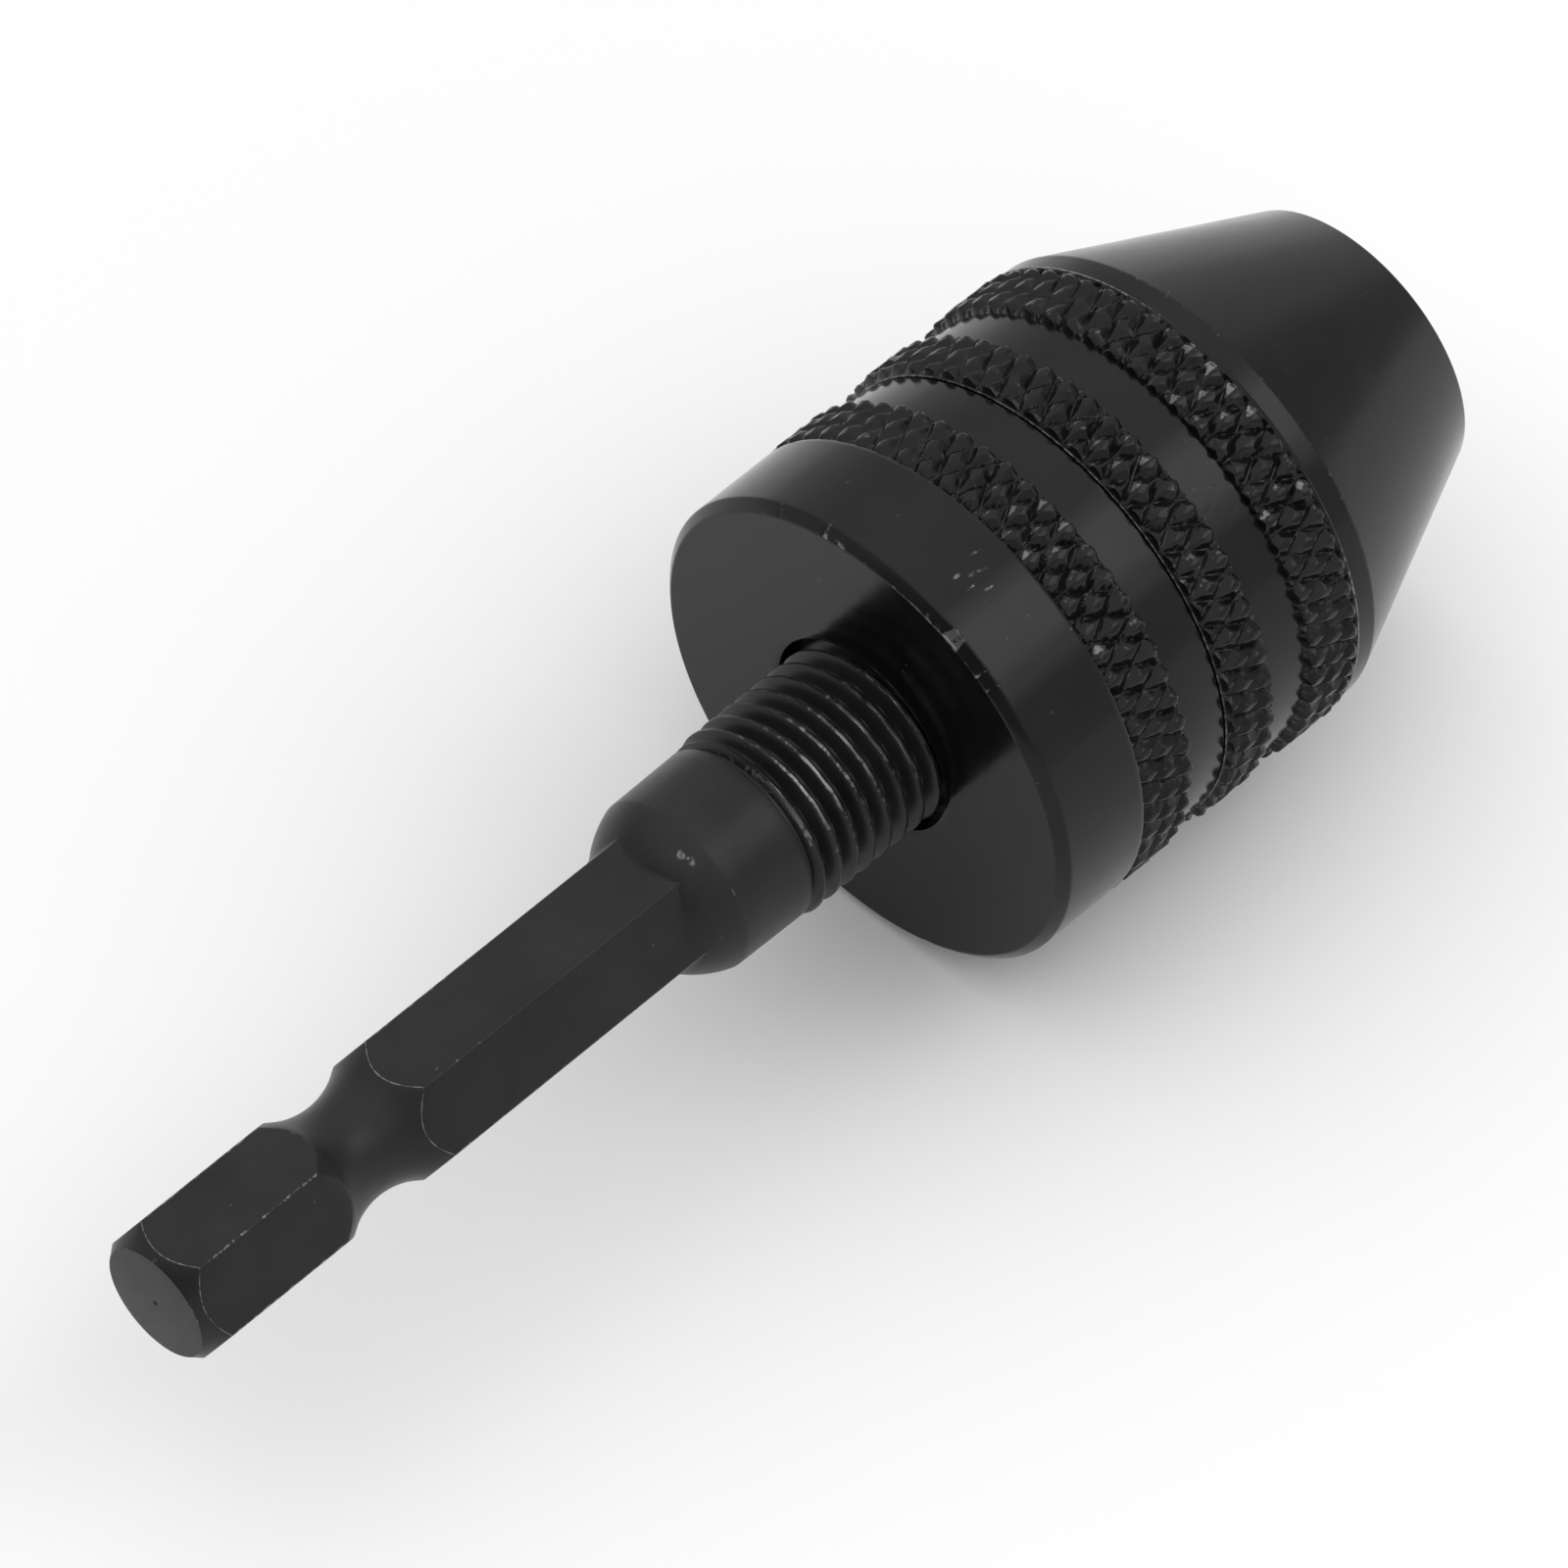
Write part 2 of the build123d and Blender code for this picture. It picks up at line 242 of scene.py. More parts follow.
def ripple(angles, x, seed, scale=1.0):
    """Smooth repeatable unevenness between about -1 and 1, round the axis and along it."""
    draw = np.random.RandomState(seed)
    total = np.zeros_like(angles)
    for _ in range(RIPPLE_WAVES):
        turns = draw.randint(3, int(30 * scale))
        height = draw.uniform(0.3, 1)
        lean = draw.uniform(0.3, 3)
        start = draw.uniform(0, 6.28)
        total += height * np.sin(turns * angles + lean * x + start)
    return total / RIPPLE_REACH


def knurl_relief(angles, x, seed):
    """Depth from 0 at the diamond tops to 1 in the grooves, two random numbers for each
    diamond, and how far across it a point is, round the axis and along it."""
    lay = KNURL_TEETH * (angles - math.radians(VIEW_SIDE)) / (2 * math.pi)
    along = x / KNURL_LENGTH
    depth, cells, inside = 0.0, [], []
    for sign in (1, -1):
        phase = lay + sign * along
        cells.append(np.floor(phase) % KNURL_TEETH)
        inside.append(phase % 1.0 - 0.5)
        from_groove = 0.5 - np.abs(inside[-1])
        depth = np.maximum(depth, np.clip(1 - from_groove / KNURL_GROOVE, 0, 1))
    draw = np.sin(cells[0] * 12.9898 + cells[1] * 78.233 + seed) * 43758.5453
    again = np.sin(cells[0] * 39.346 + cells[1] * 11.135 + seed) * 24634.6345
    lean, slide = inside[0] + inside[1], inside[0] - inside[1]
    return depth, draw - np.floor(draw), again - np.floor(again), lean, slide


def knurl_rows(angles, start, end, centre, seed, lip=0.0, runout=0.0):
    """Rows of a raised diamond knurl: two crossing families of V grooves.

    centre is a station where the diamonds stand point to point across the axis. The
    grooves get shallow over the runout before the end.
    """
    step = KNURL_LENGTH / KNURL_SAMPLES
    count = int((end - start) / step)
    first = (start + end - count * step) / 2
    rows = []
    for k in range(count + 1):
        x = first + k * step
        depth, own, other, lean, slide = knurl_relief(angles, x - centre, seed)
        if runout:
            depth = depth * min(1.0, 0.3 + 0.7 * (end - x) / runout)
        coarse, fine = ripple(angles, 1.7 * x, seed, 4), ripple(angles, 5 * x, seed + 1, 12)
        uneven = 1 + KNURL_COARSE * coarse + KNURL_FINE * fine
        edge = KNURL_EDGE_DROP if k in (0, count) else 0.0
        # Each diamond's top leans its own way and is a little lower than the crest
        tops = 0.05 * own + 0.22 * (own - 0.5) * lean + 0.2 * (other - 0.5) * slide + 0.07 * np.abs(lean)
        top_drop = np.clip(tops, 0, 0.2) * (1 - 0.5 * depth)
        radius = KNURL_CREST - KNURL_DEPTH * depth * uneven - edge - top_drop
        # Painted highlight: bare steel colour on the lit side of each diamond, strongest near the
        # camera-facing side; worn patches on some of the tops
        lit_facet = np.clip((-lean - 0.24) / 0.2, 0, 1) * np.clip((0.8 - depth) / 0.25, 0, 1)
        patch = np.clip((other - 0.62) / 0.2, 0, 1) * np.clip((0.3 - depth) / 0.2, 0, 1)
        painted_highlight = near(angles, -15, 11) * (0.6 + 0.4 * own) + 0.6 * near(angles, 17, 5) * other + 0.16 * own
        worn_and_highlighted = painted_highlight * lit_facet + 0.22 * patch * np.clip(lean * 2 + 0.3, 0, 1)
        rows.append((x, np.clip(radius, GROOVE + lip, KNURL_CREST), np.clip(worn_and_highlighted, 0, 1)))
    return rows


def finish_piece(piece, body, slot_name, material, *nodes):
    piece.data.materials.append(material)
    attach(piece, body)
    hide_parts(*nodes)


# ---------------------------------------------------------------- hex shank adapter


def hex_angles():
    """Angles with close steps over each rounded hex corner and even steps between."""
    half = [0, 0.32, 0.64, 0.96, 1.3] + list(np.linspace(3.2, 30, 13))
    sector = half + [60 - a for a in reversed(half[1:-1])]
    return np.radians([60 * k + a for k in range(6) for a in sector])


def hex_radius(angles):
    apothem = HEX_ACROSS_FLATS / 2
    turn = (angles % math.radians(60)) - math.radians(30)
    flat = apothem / np.cos(turn)
    centre = (apothem - HEX_CORNER_ROUNDING) / math.cos(math.radians(30))
    off = math.radians(30) - np.abs(turn)
    inside = np.clip(HEX_CORNER_ROUNDING**2 - (centre * np.sin(off)) ** 2, 0, None)
    round_corner = centre * np.cos(off) + np.sqrt(inside)
    tangent = math.radians(30) - math.atan(centre * 0.5 / apothem)
    return np.where(off < tangent, round_corner, flat)


def circle_through(a, b, c):
    """Centre and radius of the circle through three points."""
    (ax, ay), (bx, by), (cx, cy) = a, b, c
    d = 2 * (ax * (by - cy) + bx * (cy - ay) + cx * (ay - by))
    a2, b2, c2 = ax * ax + ay * ay, bx * bx + by * by, cx * cx + cy * cy
    x = (a2 * (by - cy) + b2 * (cy - ay) + c2 * (ay - by)) / d
    y = (a2 * (cx - bx) + b2 * (ax - cx) + c2 * (bx - ax)) / d
    return x, y, math.hypot(ax - x, ay - y)


def edge_rows(x, radius, width, wear_and_highlight, before_slope, after_slope):
    """Three rows that take the sharpness off an edge along a curve on the surface."""
    return [
        (x - width, radius - width * before_slope, 0.0),
        (x, radius - 0.25 * width * abs(after_slope - before_slope), wear_and_highlight),
        (x + width, radius + width * after_slope, 0.0),
    ]


def make_adapter():
    angles = hex_angles()
    hexagon = hex_radius(angles)
    corner_wear = 0.52 * np.exp(-(((hexagon - HEX_CORNER_WORN) / HEX_CORNER_WORN_REACH) ** 2))
    patchy = 0.55 + 0.45 * np.clip(ripple(angles, 3.0, 11), -1, 1)

    rows = [(DIMPLE_DEPTH, 0.0, 0.0), (0.02, DIMPLE_RADIUS, 0.0), (0.0, DIMPLE_RADIUS + 0.04, 0.0)]
    rows += [(0.0, SHANK_END_RADIUS - 0.12, 0.0), (0.01, SHANK_END_RADIUS - 0.03, 0.2)]
    rows += [(0.05, SHANK_END_RADIUS + 0.01, 0.1)]

    chamfer_end = (hexagon - SHANK_END_RADIUS) / SHANK_CHAMFER_SLOPE
    rows += edge_rows(chamfer_end, hexagon, 0.04, 0.45 + 0.4 * patchy, SHANK_CHAMFER_SLOPE, 0.0)

    x0, y0, arc = circle_through(DETENT_START, DETENT_MIDDLE, DETENT_END)

    def detent_edge(end, sign):
        """Where the hex surface meets the groove, on its arc or on the cone beyond it."""
        on_arc = x0 + sign * np.sqrt(arc**2 - (y0 - np.minimum(hexagon, end[1])) ** 2)
        slope = DETENT_CONE_SLOPES[(sign + 1) // 2]
        return np.where(hexagon > end[1], end[0] + (hexagon - end[1]) / slope, on_arc)

    def detent_radius(x):
        on_arc = y0 - np.sqrt(arc**2 - (np.clip(x, DETENT_START[0], DETENT_END[0]) - x0) ** 2)
        before = (x - DETENT_START[0]) * DETENT_CONE_SLOPES[0]
        after = (x - DETENT_END[0]) * DETENT_CONE_SLOPES[1]
        return on_arc + np.maximum(before, 0) * (x < DETENT_START[0]) + np.maximum(after, 0)

    near_side, far_side = detent_edge(DETENT_START, -1), detent_edge(DETENT_END, 1)
    start, end = chamfer_end + 0.04, near_side - 0.05
    for t in np.linspace(0, 1, 14)[1:]:
        rows.append((start + t * (end - start), hexagon, corner_wear * (0.35 + 0.65 * patchy)))
    rows.append((near_side, hexagon - 0.012, 0.28 * patchy))
    start, end = near_side + 0.05, far_side - 0.04
    for t in np.linspace(0, 1, 34):
        x = start + t * (end - start)
        rows.append((x, detent_radius(x), 0.0))
    rows.append((far_side, hexagon - 0.01, 0.5 + 0.35 * patchy))

    xc, yc, bend = circle_through(DOME_START, DOME_MIDDLE, DOME_END)
    dome_meets = xc - np.sqrt(bend**2 - (hexagon - yc) ** 2)
    start, end = far_side + 0.04, dome_meets - 0.12
    for t in np.linspace(0, 1, 22):
        rows.append((start + t * (end - start), hexagon, corner_wear * patchy * (1 - 0.8 * t)))
    for t in np.linspace(0.04, 1, 16):
        x = dome_meets + t * (DOME_END[0] - 0.05 - dome_meets)
        # Painted highlight: a bright streak across the dome near the side that faces the camera.
        painted_highlight = 0.42 * near(angles, -8, 9) * math.exp(-(((t - 0.6) / 0.1) ** 2))
        rows.append((x, yc + np.sqrt(bend**2 - (x - xc) ** 2), painted_highlight))
    # Painted highlight along the crease where the dome meets the collar, near the camera-facing side.
    painted_crease_highlight = 0.55 * near(angles, 24, 9) * patchy
    rows.append((DOME_END[0], DOME_END[1] - 0.005, painted_crease_highlight))
    for t in np.linspace(0.02, 1, 7):
        x = DOME_END[0] + t * (COLLAR_END[0] - 0.12 - DOME_END[0])
        rows.append((x, DOME_END[1] + t * (COLLAR_END[1] - DOME_END[1]), 0.0))
    rows.append((COLLAR_END[0] - 0.04, COLLAR_END[1] - 0.03, 0.12))
    rows.append((COLLAR_END[0], COLLAR_END[1] - 0.12, 0.0))
    rows += thread_rows(angles, COLLAR_END[0] + 0.03, THREAD_END)
    rows += [(THREAD_END, THREAD_MAJOR - THREAD_DEPTH - 0.4, 0.0), (THREAD_END, 0.0, 0.0)]
    return skin("hex_shank_adapter_skin", angles, rows)


def thread_rows(angles, start, end):
    """Right-hand 3/8-24 thread that runs out at the collar and is chamfered at its end."""
    rows = []
    step = THREAD_PITCH / THREAD_STEPS
    for k in range(int((end - start) / step)):
        x = start + k * step
        phase = ((x - start) / THREAD_PITCH - angles / (2 * math.pi)) % 1.0
        ridge = np.clip((np.abs(2 * phase - 1) - 0.1) / 0.74, 0, 1)
        ridge = ridge * ridge * (3 - 2 * ridge) * 0.35 + ridge * 0.65
        cut = np.clip((x - start) / (0.9 * THREAD_PITCH), 0.25, 1)
        radius = THREAD_MAJOR - 0.02 - THREAD_DEPTH * (1 - ridge) * cut
        radius = np.minimum(radius, THREAD_MAJOR - THREAD_LEAD_IN + (end - x))
        rise = np.maximum(x - start - 0.18, 0) * 1.6
        radius = np.minimum(radius, THREAD_MAJOR - THREAD_START_DROP + rise)
        crest = np.clip((ridge - 0.97) / 0.03, 0, 1)
        patch = 0.5 + 0.5 * np.sin(1.9 * x + 1.2) * np.cos(4 * angles + 0.8 * x)
        # Crest wear all round, plus a painted highlight on the crests near the camera-facing side.
        worn_and_highlighted = crest * (0.12 + (0.25 + 0.6 * patch) * near(angles, 2, 26))
        rows.append((x, radius, worn_and_highlighted))
    return rows


# ---------------------------------------------------------------- sleeves


# Small scuffs on the plain collar: degrees from the viewed side, station, size
SCUFFS = (
    (-14.6, 47.9, 0.42), (-13.2, 46.4, 0.5), (-11.6, 46.9, 0.36), (-10.9, 47.5, 0.44),
    (-9.4, 46.7, 0.5), (-8.2, 45.9, 0.4), (-7.0, 47.2, 0.45), (-5.3, 46.5, 0.34),
    (2.5, 47.7, 0.3), (21.0, 46.2, 0.36), (-47.0, 47.0, 0.4),
)
SCUFF_DEGREES = 0.45
SCUFF_LENGTH = 0.3
SCUFF_LIMIT = 0.6

# Dents and rubbed places on the rear edge: degrees from the viewed side, width, size
REAR_NICKS = (
    (-4.5, 1.6, 0.95), (-2.2, 0.8, 0.8), (5.6, 0.4, 0.8), (9.4, 0.35, 0.5),
    (-41.0, 0.7, 0.7), (-37.0, 1.6, 0.35), (-55.0, 0.6, 0.4), (33.0, 0.4, 0.3),
    (130.0, 1.2, 0.6), (195.0, 0.8, 0.5),
)


def scuff_wear(angles, x):
    """Wear that the small scuffs leave at one station of the plain collar."""
    marks = []
    for at, place, size in SCUFFS:
        fade = math.exp(-(((x - place) / SCUFF_LENGTH) ** 2))
        marks.append(size * near(angles, at, SCUFF_DEGREES) * fade)
    return np.clip(sum(marks), 0, SCUFF_LIMIT)


def make_rear_sleeve():
    angles = even_angles(SLEEVE_SEGMENTS)
    inner_end = HEAD_REAR + REAR_WALL
    nicks = np.clip(sum(near(angles, at, wide) * size for at, wide, size in REAR_NICKS), 0, 1)
    # Painted highlight along the inner edge of the rear chamfer near the camera-facing side, over light
    # wear all round.
    inner_edge_wear_and_highlight = 0.5 * near(angles, -12, 6) + 0.12
    edge_in, edge_out = COLLAR_PLAIN - EDGE_CHAMFER, HEAD_REAR + EDGE_CHAMFER
    rows = [(HEAD_REAR + 0.1, REAR_HOLE, 0.0), (HEAD_REAR + 0.02, REAR_HOLE + 0.03, 0.2)]
    rows += [(HEAD_REAR, REAR_HOLE + 0.1, 0.0)]
    rows += [(HEAD_REAR, r, 0.0) for r in np.linspace(REAR_HOLE + 0.4, edge_in - 0.15, 12)]
    rows += [
        (HEAD_REAR, edge_in - 0.08, 0.25 * nicks),
        (HEAD_REAR + 0.02 + 0.05 * nicks, edge_in - 0.01, 0.9 * nicks + inner_edge_wear_and_highlight),
        (HEAD_REAR + 0.06 + 0.07 * nicks, edge_in + 0.04 - 0.04 * nicks, 0.8 * nicks + 0.3 * inner_edge_wear_and_highlight),
        (HEAD_REAR + EDGE_CHAMFER / 2, edge_in + EDGE_CHAMFER / 2 - 0.05 * nicks, 0.7 * nicks**2),
        (edge_out - 0.05, COLLAR_PLAIN - 0.05 - 0.05 * nicks, 0.6 * nicks**2),
        (edge_out, COLLAR_PLAIN - 0.012 - 0.03 * nicks, 0.8 * nicks**2 + 0.1),
        (edge_out + 0.05, COLLAR_PLAIN, 0.3 * nicks**2),
        (edge_out + 0.16, COLLAR_PLAIN, 0.0),
    ]
    for x in np.linspace(edge_out + 0.3, KNURL_1[0] - 0.12, 26):
        rows.append((x, COLLAR_PLAIN, scuff_wear(angles, x)))
    rows.append((KNURL_1[0] - 0.05, COLLAR_PLAIN - 0.03, 0.0))
    rows.append((KNURL_1[0] - 0.03, COLLAR_PLAIN - 0.12, 0.0))
    first_facet = len(rows)
    rows += knurl_rows(angles, KNURL_1[0], KNURL_1[1], KNURL_1_CENTRE, KNURL_1_SEED)
    facets = range(first_facet, len(rows) - 1)
    rest = [
        (KNURL_1[1] + 0.05, GROOVE, 0.05),
        (REAR_SLEEVE_END, GROOVE, 0.06),
        (REAR_SLEEVE_END, REAR_BORE, 0.05),
        (inner_end, REAR_BORE, 0.05),
        (inner_end, REAR_HOLE, 0.05),
    ]
    rows += rounded_rows(rest, wear_and_highlight=0.5)
    return skin("rear_sleeve_skin", angles, rows, loop=True, facet_rows=facets)


def make_front_sleeve():
    angles = even_angles(SLEEVE_SEGMENTS)
    rim = FRONT_SLEEVE_START - SEAM_LIP
    rows = [
        (rim, FRONT_BORE + 0.1, 0.0),
        (rim, GROOVE - 0.02, 0.0),
        (rim + 0.02, GROOVE + 0.04, 0.5),
        (rim + 0.06, GROOVE + 0.06, 0.1),
        (rim + 0.09, GROOVE + 0.08, 0.0),
    ]
    first_facet = len(rows)
    rows += knurl_rows(angles, rim + 0.1, KNURL_2_END, KNURL_2_CENTRE, KNURL_2_SEED, lip=0.1)
    facets = list(range(first_facet, len(rows) - 1))
    rows += traced_groove_rows(angles, KNURL_2_END + 0.06, KNURL_3[0] - 0.06)
    first_facet = len(rows)
    rows += knurl_rows(
        angles, KNURL_3[0], KNURL_3[1], KNURL_3_CENTRE, KNURL_3_SEED, runout=KNURL_3_RUNOUT
    )
    facets += range(first_facet, len(rows) - 1)
    # Painted highlight on the rim behind the last knurl, strongest towards both outlines.
    painted_rim_glint = np.clip(1.1 - 1.3 * near(angles, 0, 42), 0, 1)
    rows += [
        (KNURL_3[1] + 0.04, KNURL_CREST - 0.12, 0.0),
        (KNURL_3[1] + 0.09, KNURL_CREST - 0.1, 0.6 * painted_rim_glint),
        (KNURL_3_RIM - 0.06, KNURL_CREST - 0.11, 0.6 * painted_rim_glint),
        (KNURL_3_RIM - 0.02, KNURL_CREST - 0.13, 0.1),
    ]
    rest = [
        (KNURL_3_RIM + 0.08, CONE_START[1], 0.05),
        (CONE_START[0], CONE_START[1], 0.5),
        (HEAD_FRONT, NOSE_RADIUS, 0.16),
        (HEAD_FRONT, NOSE_HOLE, 0.2),
        (NOSE_BORE_START, NOSE_HOLE, 0.1),
        (GUIDE_END, GUIDE_BORE, 0.1),
        (NUT_END + 0.02, GUIDE_BORE, 0.1),
        (NUT_END + 0.02, FRONT_BORE, 0.1),
        (rim + 0.1, FRONT_BORE, 0.05),
    ]
    rows += rounded_rows(rest, wear_and_highlight=0.12)
    return skin("front_sleeve_skin", angles, rows, loop=True, facet_rows=facets)


def traced_groove_rows(angles, start, end):
    """Rows of the turned groove, with faint traces where the knurl once ran across it."""
    rows = []
    for x in np.linspace(start, end, 16):
        depth, own = knurl_relief(angles, x - KNURL_3_CENTRE, KNURL_3_SEED)[:2]
        patch = near(angles, 5, 8) + 0.35 * near(angles, -28, 4)
        trace = np.clip((depth - 0.82) / 0.18, 0, 1) * patch * (0.2 + 0.8 * own)
        rows.append((x, GROOVE - 0.015 * trace, 0.34 * trace))
    return rows


# ---------------------------------------------------------------- materials


OXIDE_SPECULAR = 0.22
BARE_STEEL = (0.17, 0.17, 0.166)
BARE_STEEL_ROUGHNESS = 0.32


class Nodes:
    """Small helper that builds a node material in words."""

    def __init__(self, name):
        self.material = bpy.data.materials.new(name)
        self.material.use_nodes = True
        self.tree = self.material.node_tree
        self.shader = self.tree.nodes["Principled BSDF"]
        self.place = self.tree.nodes.new("ShaderNodeTexCoord").outputs["Object"]

    def add(self, kind, **values):
        node = self.tree.nodes.new(kind)
        for key, value in values.items():
            setattr(node, key, value)
        return node

    def link(self, source, target):
        self.tree.links.new(source, target)

    def noise(self, scale, detail=4.0, stretch=(1, 1, 1), roughness=0.6):
        mapping = self.add("ShaderNodeMapping")
        mapping.inputs["Scale"].default_value = stretch
        self.link(self.place, mapping.inputs["Vector"])
        noise = self.add("ShaderNodeTexNoise")
        noise.inputs["Scale"].default_value = scale
        noise.inputs["Detail"].default_value = detail
        noise.inputs["Roughness"].default_value = roughness
        self.link(mapping.outputs["Vector"], noise.inputs["Vector"])
        return noise.outputs["Fac"]

    def spread(self, value, low, high, to_low, to_high):
        """Map a value from one range to another, held at the ends."""
        node = self.add("ShaderNodeMapRange")
        ends = {"From Min": low, "From Max": high, "To Min": to_low, "To Max": to_high}
        for key, number in ends.items():
            node.inputs[key].default_value = number
        self.link(value, node.inputs["Value"])
        return node.outputs["Result"]

    def math(self, operation, a, b):
        node = self.add("ShaderNodeMath", operation=operation, use_clamp=True)
        for socket, value in zip(node.inputs, (a, b)):
            if isinstance(value, (int, float)):
                socket.default_value = value
            else:
                self.link(value, socket)
        return node.outputs["Value"]

    def mix(self, factor, first, second):
        """Mix of two colours, each a triple or another node's colour."""
        node = self.add("ShaderNodeMix", data_type="RGBA")
        self.link(factor, node.inputs["Factor"])
        for socket, value in ((node.inputs[6], first), (node.inputs[7], second)):
            if isinstance(value, tuple):
                socket.default_value = (*value, 1)
            else:
                self.link(value, socket)
        return node.outputs[2]

    def blend(self, factor, first, second):
        """Mix of two numbers, each a number or another node's value."""
        node = self.add("ShaderNodeMix", data_type="FLOAT")
        self.link(factor, node.inputs["Factor"])
        for socket, value in ((node.inputs[2], first), (node.inputs[3], second)):
            if isinstance(value, (int, float)):
                socket.default_value = value
            else:
                self.link(value, socket)
        return node.outputs[0]

    def bump(self, layers):
        """Chain of bumps from (height, strength, distance) layers."""
        last = None
        for height, strength, distance in layers:
            node = self.add("ShaderNodeBump")
            node.inputs["Strength"].default_value = strength
            node.inputs["Distance"].default_value = distance
            self.link(height, node.inputs["Height"])
            if last is not None:
                self.link(last, node.inputs["Normal"])
            last = node.outputs["Normal"]
        self.link(last, self.shader.inputs["Normal"])

    def set(self, **constants):
        """Set shader inputs by name, with _ for each space."""
        for key, value in constants.items():
            self.shader.inputs[key.replace("_", " ")].default_value = value


def black_oxide(name, shade, gloss, turned=True):
    """Satin black oxide on steel: smudged sheen, fine grain, and bare steel colour where it's worn and
    where highlights are painted.
    """
    n = Nodes(name)
    clouds = n.noise(260, 3)
    grain = n.noise(9000, 2)
    smudge = n.noise(420, 5, (1.0, 1.6, 1.6), 0.7)
    dark = tuple(0.7 * c for c in shade)
    light = tuple(1.35 * c for c in shade)
    oxide = n.mix(n.spread(clouds, 0.3, 0.7, 0, 1), dark, light)
    speck = n.spread(n.noise(3600, 1), 0.8, 0.82, 0, 0.5)
    # Bare steel colour comes from real wear and from painted highlights in the attribute.
    wear_and_highlight = n.add("ShaderNodeAttribute", attribute_name="wear_and_highlight").outputs["Fac"]
    broken = n.spread(n.noise(2900, 4), 0.25, 0.75, 0, 0.9)
    worn_and_highlighted = n.spread(n.math("ADD", wear_and_highlight, broken), 0.72, 1.0, 0, 1)
    bare_and_highlight = n.math("ADD", n.math("MULTIPLY", worn_and_highlighted, n.spread(wear_and_highlight, 0.02, 0.25, 0, 1)), speck)
    n.link(n.mix(bare_and_highlight, oxide, BARE_STEEL), n.shader.inputs["Base Color"])
    n.link(bare_and_highlight, n.shader.inputs["Metallic"])
    sheen = n.spread(smudge, 0.3, 0.72, gloss - 0.03, gloss + 0.06)
    n.link(n.blend(bare_and_highlight, sheen, BARE_STEEL_ROUGHNESS), n.shader.inputs["Roughness"])
    n.set(Specular_IOR_Level=OXIDE_SPECULAR)
    layers = [(grain, 0.1, 0.00001), (smudge, 0.08, 0.00003)]
    if turned:
        layers.append((n.noise(2400, 2, (1.0, 0.02, 0.02)), 0.08, 0.00001))
    n.bump(layers)
    return n.material


def ground_metal(name, shade, gloss, lay=(1.0, 0.05, 0.05), scale=3000):
    """Bright metal with fine grinding lines and an uneven oil film."""
    n = Nodes(name)
    lines = n.noise(scale, 3, lay)
    film = n.noise(350, 4)
    deep = tuple(0.7 * c for c in shade)
    n.link(n.mix(n.spread(lines, 0.3, 0.7, 0, 1), deep, shade), n.shader.inputs["Base Color"])
    n.link(n.spread(film, 0.3, 0.7, gloss - 0.06, gloss + 0.1), n.shader.inputs["Roughness"])
    n.set(Metallic=1.0)
    n.bump([(lines, 0.12, 0.00001), (film, 0.05, 0.00003)])
    return n.material


OXIDE_SHANK = black_oxide("black_oxide_shank", (0.011, 0.011, 0.011), 0.34, turned=False)
OXIDE_SLEEVE = black_oxide("black_oxide_sleeve", (0.004, 0.004, 0.004), 0.15)
OXIDE_BODY = black_oxide("black_oxide_body", (0.012, 0.012, 0.012), 0.34)
JAW_STEEL = ground_metal("jaw_steel", (0.3, 0.3, 0.31), 0.34)
NUT_STEEL = ground_metal("nut_steel", (0.33, 0.33, 0.34), 0.4)
BEARING_STEEL = ground_metal("bearing_steel", (0.6, 0.6, 0.61), 0.16, (1, 1, 1), 1200)
CAGE_BRASS = ground_metal("cage_brass", (0.62, 0.43, 0.2), 0.3)

# ---------------------------------------------------------------- pieces


def dress(nodes, material):
    for node in nodes:
        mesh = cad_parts[node].data
        mesh.materials.clear()
        mesh.materials.append(material)


finish_piece(make_adapter(), "body", "black_oxide_shank", OXIDE_SHANK, "hex_shank_adapter")
finish_piece(make_rear_sleeve(), "body", "black_oxide_sleeve", OXIDE_SLEEVE, "rear_sleeve")
finish_piece(make_front_sleeve(), "sleeve", "black_oxide_sleeve", OXIDE_SLEEVE, "front_sleeve")

dress(["chuck_body"], OXIDE_BODY)
dress([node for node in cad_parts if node.startswith("jaw_")], JAW_STEEL)
dress(["nut_half_a", "nut_half_b", "nut_band"], NUT_STEEL)
dress([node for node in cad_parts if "bearing_" in node], BEARING_STEEL)
dress(["ball_cage"], CAGE_BRASS)

# ---------------------------------------------------------------- floor, light and camera

FLOOR_SIZE = 3.0
FLOOR_DARK = (0.89, 0.89, 0.89)
FLOOR_LIGHT = (0.92, 0.92, 0.92)
LIGHT_TARGET = Vector((0.05, 0, 0))
SENSOR_WIDTH = 36
VIEW_AZIMUTH = -45.9
VIEW_ELEVATION = 50.79
VIEW_ROLL = -0.158
VIEW_DISTANCE = 0.582
VIEW_TARGET = (0.03917, 0.00007, 0.00089)
VIEW_SHIFT = (-0.00031, -0.00094)
LENS = 300.5


def make_floor():
    mesh = bpy.data.meshes.new("floor")
    half = FLOOR_SIZE / 2
    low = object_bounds()[0][2]
    corners = [(-half, -half, low), (half, -half, low), (half, half, low), (-half, half, low)]
    mesh.from_pydata(corners, [], [(0, 1, 2, 3)])
    floor = bpy.data.objects.new("floor", mesh)
    bpy.context.scene.collection.objects.link(floor)
    n = Nodes("floor_pale")
    tint = n.spread(n.noise(3, 2), 0.3, 0.7, 0, 1)
    n.link(n.mix(tint, FLOOR_DARK, FLOOR_LIGHT), n.shader.inputs["Base Color"])
    n.set(Roughness=0.9)
    mesh.materials.append(n.material)


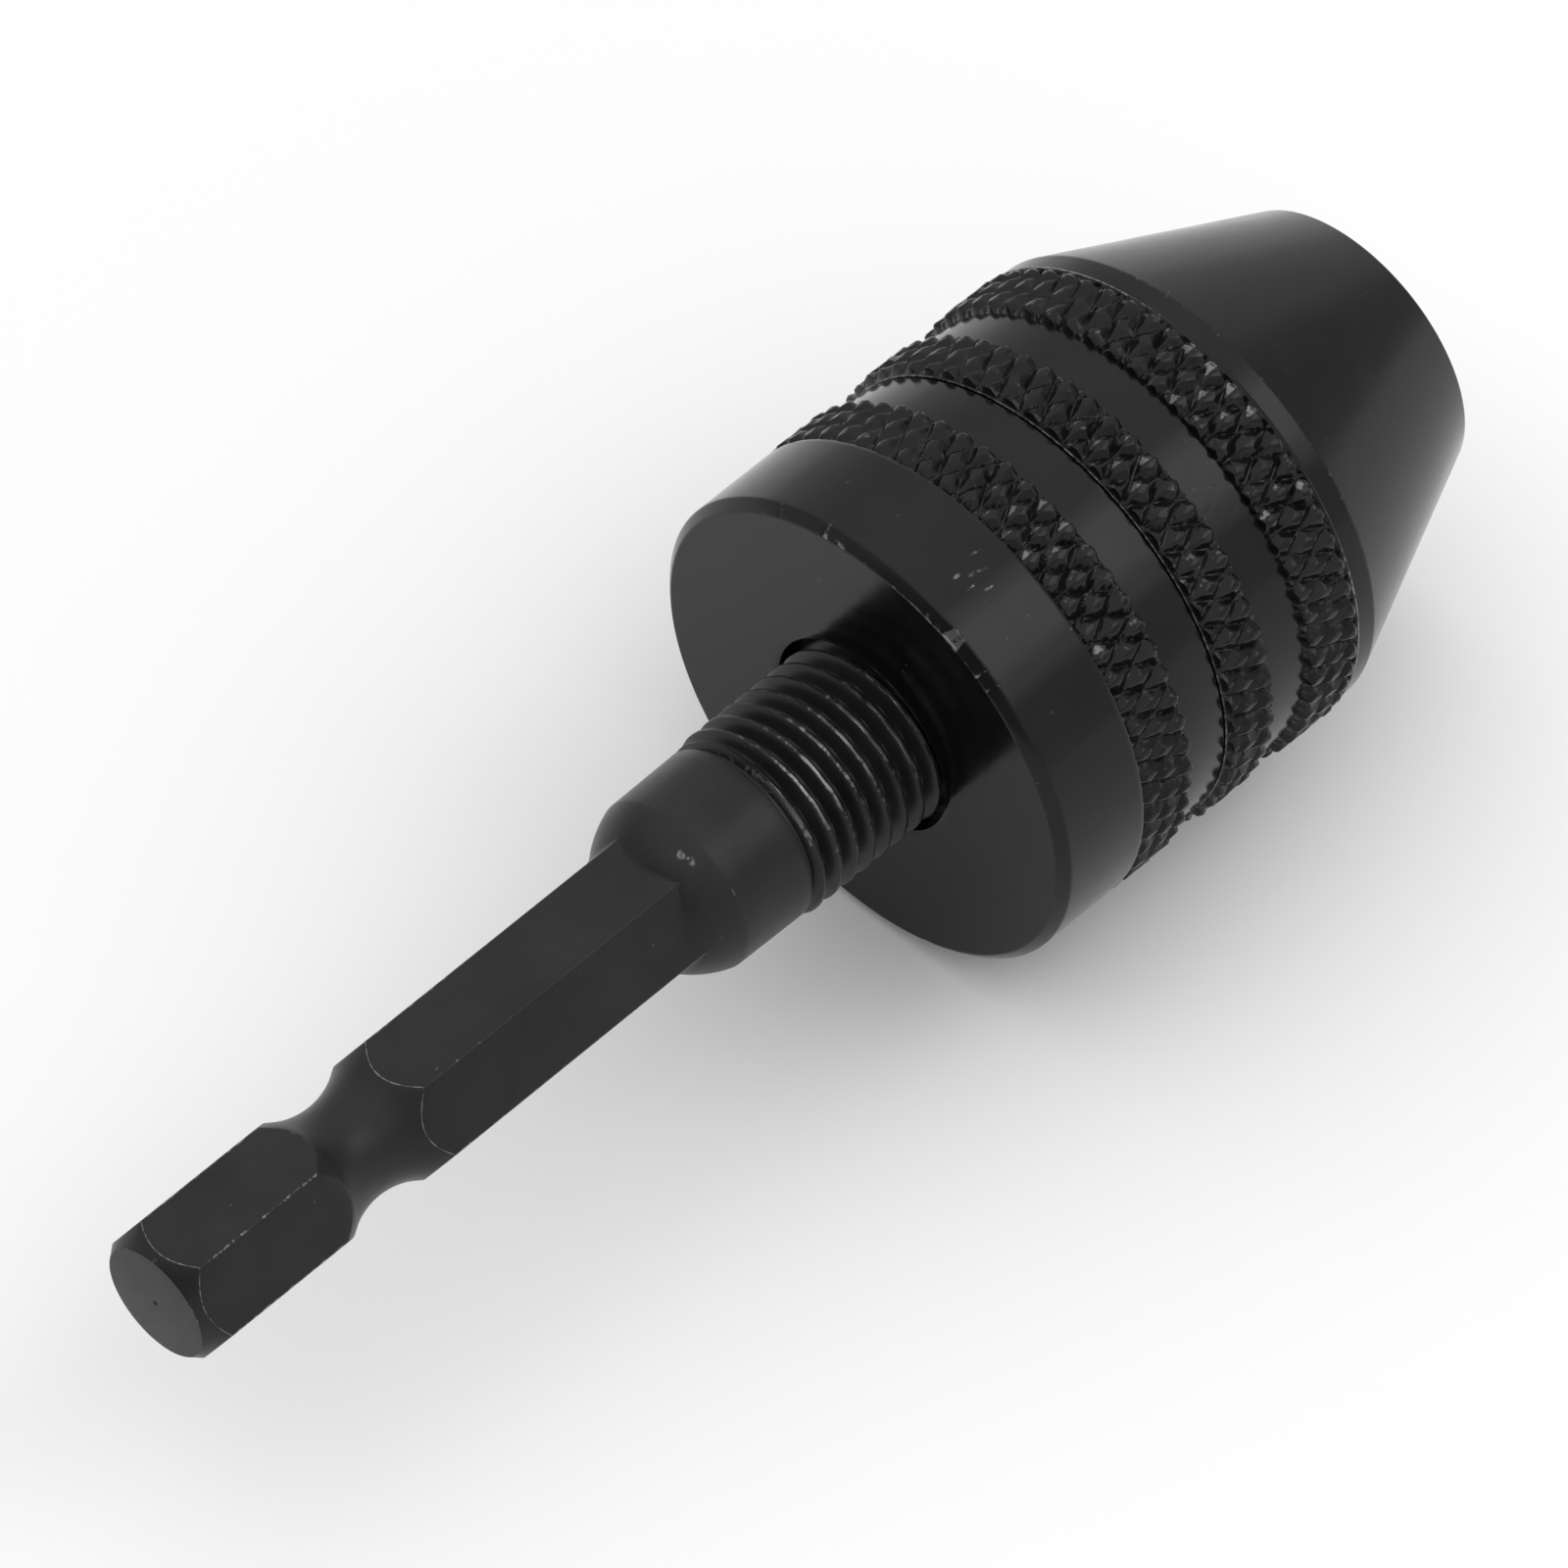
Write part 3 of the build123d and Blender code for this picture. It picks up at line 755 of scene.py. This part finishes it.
def direction(azimuth, elevation):
    """Unit vector towards a place in the sky: azimuth from +X towards +Y."""
    a, e = math.radians(azimuth), math.radians(elevation)
    return Vector((math.cos(a) * math.cos(e), math.sin(a) * math.cos(e), math.sin(e)))


def softbox(name, azimuth, elevation, size, radiance, distance=0.6):
    """Rectangular area light aimed at the chuck, its first side along the chuck axis."""
    light = bpy.data.lights.new(name, "AREA")
    light.shape = "RECTANGLE"
    light.size, light.size_y = size
    light.energy = radiance * math.pi * size[0] * size[1]
    lamp = bpy.data.objects.new(name, light)
    back = direction(azimuth, elevation)
    side = (Vector((1, 0, 0)) - back * back.x).normalized()
    lamp.matrix_world = Matrix((side, back.cross(side), back)).transposed().to_4x4()
    lamp.location = LIGHT_TARGET + back * distance
    bpy.context.scene.collection.objects.link(lamp)


def make_world(low, high, dips):
    """White studio surround, dimmer towards the horizon and in a few soft-edged places.

    Each dip is (direction, cosine where it starts, cosine where it's full, strength left).
    """
    world = bpy.data.worlds.new("studio")
    world.use_nodes = True
    tree = world.node_tree
    place = tree.nodes.new("ShaderNodeTexCoord").outputs["Generated"]

    def reach(towards, start, full, before, after):
        """Smooth change of strength with how far a view direction leans towards another."""
        facing = tree.nodes.new("ShaderNodeVectorMath")
        facing.operation = "DOT_PRODUCT"
        facing.inputs[1].default_value = Vector(towards).normalized()
        fade = tree.nodes.new("ShaderNodeMapRange")
        fade.interpolation_type = "SMOOTHSTEP"
        ends = {"From Min": start, "From Max": full, "To Min": before, "To Max": after}
        for key, value in ends.items():
            fade.inputs[key].default_value = value
        tree.links.new(place, facing.inputs[0])
        tree.links.new(facing.outputs["Value"], fade.inputs["Value"])
        return fade.outputs["Result"]

    strength = reach((0, 0, 1), 0.4, 0.85, low, high)
    for towards, start, full, left in dips:
        product = tree.nodes.new("ShaderNodeMath")
        product.operation = "MULTIPLY"
        tree.links.new(strength, product.inputs[0])
        tree.links.new(reach(towards, start, full, 1.0, left), product.inputs[1])
        strength = product.outputs["Value"]
    back = tree.nodes["Background"]
    back.inputs["Color"].default_value = (1, 1, 1, 1)
    tree.links.new(strength, back.inputs["Strength"])
    bpy.context.scene.world = world


def make_camera():
    data = bpy.data.cameras.new("photo_view")
    data.sensor_width = SENSOR_WIDTH
    data.lens = LENS
    data.clip_start = 0.01
    camera = bpy.data.objects.new("photo_view", data)
    facing = Euler((math.radians(90 - VIEW_ELEVATION), 0, math.radians(VIEW_AZIMUTH))).to_matrix()
    camera.rotation_euler = (facing @ Matrix.Rotation(math.radians(VIEW_ROLL), 3, "Z")).to_euler()
    data.shift_x, data.shift_y = VIEW_SHIFT
    back = facing @ Vector((0, 0, 1))
    camera.location = Vector(VIEW_TARGET) + back * VIEW_DISTANCE
    bpy.context.scene.collection.objects.link(camera)
    bpy.context.scene.camera = camera


make_floor()
# Dimmer places in the surround, which the cone and the faces at the back reflect
AHEAD_OF_NOSE = ((0.957, -0.16, 0.24), 0.92, 0.995, 0.6)
BEHIND_SHANK = ((-0.93, -0.15, 0.25), 0.72, 0.97, 0.3)
make_world(low=0.8, high=1.3, dips=(AHEAD_OF_NOSE, BEHIND_SHANK))
softbox("key_light", azimuth=-48.5, elevation=46, size=(0.34, 0.42), radiance=0.75)
softbox("key_core", azimuth=-47.0, elevation=48, size=(0.26, 0.24), radiance=0.75)
make_camera()
bpy.context.scene.view_settings.view_transform = "Standard"
